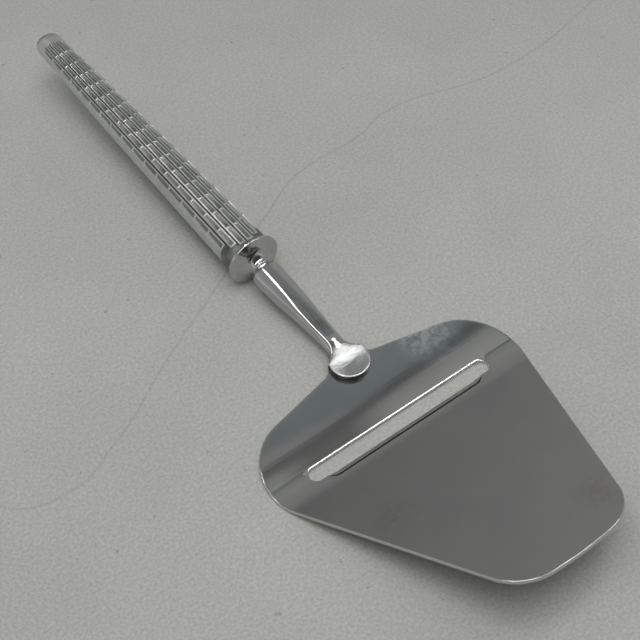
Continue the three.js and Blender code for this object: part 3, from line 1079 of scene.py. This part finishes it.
bladeSteel = makeBladeSteel()
polishedSteel = makePolishedSteel(
    "polishedSteel", smooth=0.06, rough=0.11, scale=(900, 120, 900), turn=(0, 0, 0.6), depth=0.03,
)
brushedPad = makePolishedSteel(
    "brushedPad", smooth=0.2, rough=0.3, scale=(160, 1900, 1900), turn=(0, 0, 0.08), depth=0.5,
)
groundSteel = makeSilver("groundSteel", dark=(0.42, 0.43, 0.42), light=(0.5, 0.51, 0.5), rough=0.42)
creaseShade = makeSilver("creaseShade", dark=(0.03, 0.03, 0.03), light=(0.05, 0.05, 0.05), rough=0.5)
shellMaterials = {
    "plate": makeSilver("silverPlate", dark=(0.57, 0.58, 0.56), light=(0.67, 0.68, 0.66), rough=0.38),
    "pocket": makeSilver("silverPocket", dark=(0.2, 0.205, 0.195), light=(0.3, 0.305, 0.29), rough=0.42),
    "groove": makeSilver("silverGroove", dark=(0.05, 0.052, 0.05), light=(0.09, 0.095, 0.09), rough=0.45),
    "bead": makeSilver("silverBead", dark=(0.88, 0.89, 0.87), light=(0.94, 0.95, 0.93), rough=0.14),
    # a darker, mottled silver for the plain band at the handle's mouth
    "darkMouth": makeSilver("silverDarkMouth", dark=(0.09, 0.095, 0.095), light=(0.3, 0.31, 0.3), rough=0.4),
}
castResin = makeResin()
paleFloor = makeStone()
print("materials mixed")

frontShell = makeHalfShell("slicerFrontShell", shellMaterials)
selectOnly(frontShell)
bpy.ops.object.duplicate()
backShell = namePiece("slicerBackShell")
for v in backShell.data.vertices:
    v.co.z = -v.co.z    # the back shell is the front one's mirror image
editPiece(backShell)
faceOutwards()
leaveEdit()
for shell in (frontShell, backShell):
    placePiece(shell, handlePlace)
print("shells stamped:", len(frontShell.data.polygons), "faces each")

for material in (bladeSteel, groundSteel, creaseShade):
    slicerBlade.data.materials.append(material)
for material in (polishedSteel, brushedPad, creaseShade):
    slicerShank.data.materials.append(material)
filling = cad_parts["handle_filling"]
filling.material_slots[0].link = "OBJECT"
filling.material_slots[0].material = castResin

# what each piece rides on and stands for
for piece, node, slot in (
    (slicerBlade, "blade", "blade_steel"),
    (slicerShank, "shank", "polished_steel"),
    (frontShell, "handle_front_shell", "silver_plate"),
    (backShell, "handle_back_shell", "silver_plate"),
):
    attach(piece, "root")
    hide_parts(node)


# floor, camera and light

stageShape = {
    "floorSize": 6,
    "cameraPlace": (-0.12437, -0.21297, 0.27151),
    "cameraTurn": (radians(40.8809), radians(3.2987), radians(-36.8658)),
    "lens": 78.806,
    "sensor": 36,
    "nearClip": 0.01,
    # each lamp: place, size, power
    "roundLamps": [
        ((-0.208, 0.559, 1.15), (0.17, 0.17), 0.65),
        ((0.47, 0.03, 1.21), (0.24, 0.24), 0.8),
    ],
    "skyLamp": ((-0.14, -0.26, 1.15), (0.85, 0.85), 8.3),
    "longLamp": ((0, -0.37, 1.08), (2.6, 0.18), 13),
    "stripLamp": ((-0.19, 0.08, 1.15), (0.12, 0.95), 2.2),
}
bpy.ops.mesh.primitive_plane_add(size=stageShape["floorSize"])
floor = namePiece("paleFloor")
floor.data.materials.append(paleFloor)

bpy.ops.object.camera_add(location=stageShape["cameraPlace"], rotation=stageShape["cameraTurn"])
camera = bpy.context.active_object
camera.data.lens = stageShape["lens"]
camera.data.sensor_width = stageShape["sensor"]
camera.data.clip_start = stageShape["nearClip"]
bpy.context.scene.camera = camera


def hangLamp(place, size, power, shape):
    # it looks at the middle of the table
    bpy.ops.object.light_add(type="AREA", location=place)
    lamp = bpy.context.active_object
    lamp.data.shape = shape
    lamp.data.size, lamp.data.size_y = size
    lamp.data.energy = power
    lamp.rotation_euler = Vector(place).to_track_quat("Z", "Y").to_euler()
    return lamp


# two round lamps, a wide soft one that the metal doesn't mirror, and two long ones
# that show in the metal only
for roundLamp in stageShape["roundLamps"]:
    hangLamp(*roundLamp, "DISK")
skyLamp = hangLamp(*stageShape["skyLamp"], "SQUARE")
skyLamp.visible_glossy = False
longLamp = hangLamp(*stageShape["longLamp"], "RECTANGLE")
stripLamp = hangLamp(*stageShape["stripLamp"], "RECTANGLE")
stripLamp.rotation_euler = (0, 0, 0)    # it hangs level
for lamp in (longLamp, stripLamp):
    lamp.visible_diffuse = False


# the room round the table: each list of stops runs along an axis or over a facing

roomShape = {
    # ahead is a grey wall with narrow darker bands, which the blade mirrors
    "ahead": (0.7, 0.71, 0),
    "aheadStops": [(0, 0), (0.3, 1)],
    "wallLeft": [(0, 0.35), (0.29, 0.19)],
    "wallRight": [(0, 0.35), (0.285, 0.37), (0.302, 0.27)],
    "wallBoth": [
        (0.3045, 0.13), (0.3085, 0.13), (0.311, 0.28), (0.33, 0.27),
        (0.5, 0.3), (0.74, 0.25), (0.8, 0.21), (0.86, 0.17),
    ],
    "leftOrRight": [(0.28, 1), (0.305, 0), (0.335, 0), (0.37, 1)],
    "band": (0.12, 1, 0),
    "bandStops": [(0.352, 1), (0.3555, (0.7, 0.79, 0.81)), (0.375, (0.78, 0.87, 0.89)), (0.4, 1)],
    "farRight": [(0.55, 0), (0.7, 1)],
    "farRightTone": (0.4, 0.4, 0.4, 1),
    # the rest is palest low down, and the camera's side is dark
    "aside": [(0, 0.68), (0.3, 0.5), (0.6, 0.38), (1, 0.4)],
    "near": (0, -0.68, 0.73),
    "nearStops": [(0, 0), (0.62, 0), (0.8, 0.9), (1, 0.92)],
    "nearTone": (0.04, 0.04, 0.045, 1),
}


def paintRoom(room):
    r = roomShape
    look = addNode(room, "TexCoord").outputs["Generated"]
    split = addNode(room, "SeparateXYZ")
    room.links.new(look, split.inputs["Vector"])
    wallLeft = addRamp(room, split.outputs["Y"], r["wallLeft"] + r["wallBoth"])
    wallRight = addRamp(room, split.outputs["Y"], r["wallRight"] + r["wallBoth"])
    wall = mixColours(room, addRamp(room, split.outputs["X"], r["leftOrRight"]), wallLeft, wallRight)
    band = addRamp(room, addVectorMath(room, "DOT_PRODUCT", look, r["band"]), r["bandStops"])
    wall = mixColours(room, 1, wall, band, "MULTIPLY")
    wall = mixColours(room, addRamp(room, split.outputs["X"], r["farRight"]), wall, r["farRightTone"])
    aside = addRamp(room, split.outputs["Z"], r["aside"])
    ahead = addRamp(room, addVectorMath(room, "DOT_PRODUCT", look, r["ahead"]), r["aheadStops"])
    near = addRamp(room, addVectorMath(room, "DOT_PRODUCT", look, r["near"]), r["nearStops"])
    surround = mixColours(room, ahead, aside, wall)
    surround = mixColours(room, near, surround, r["nearTone"])
    room.links.new(surround, room.nodes["Background"].inputs["Color"])


world = bpy.data.worlds.new("room")
bpy.context.scene.world = world
world.use_nodes = True
paintRoom(world.node_tree)

bpy.context.scene.view_settings.view_transform = "Standard"
print("stage set")
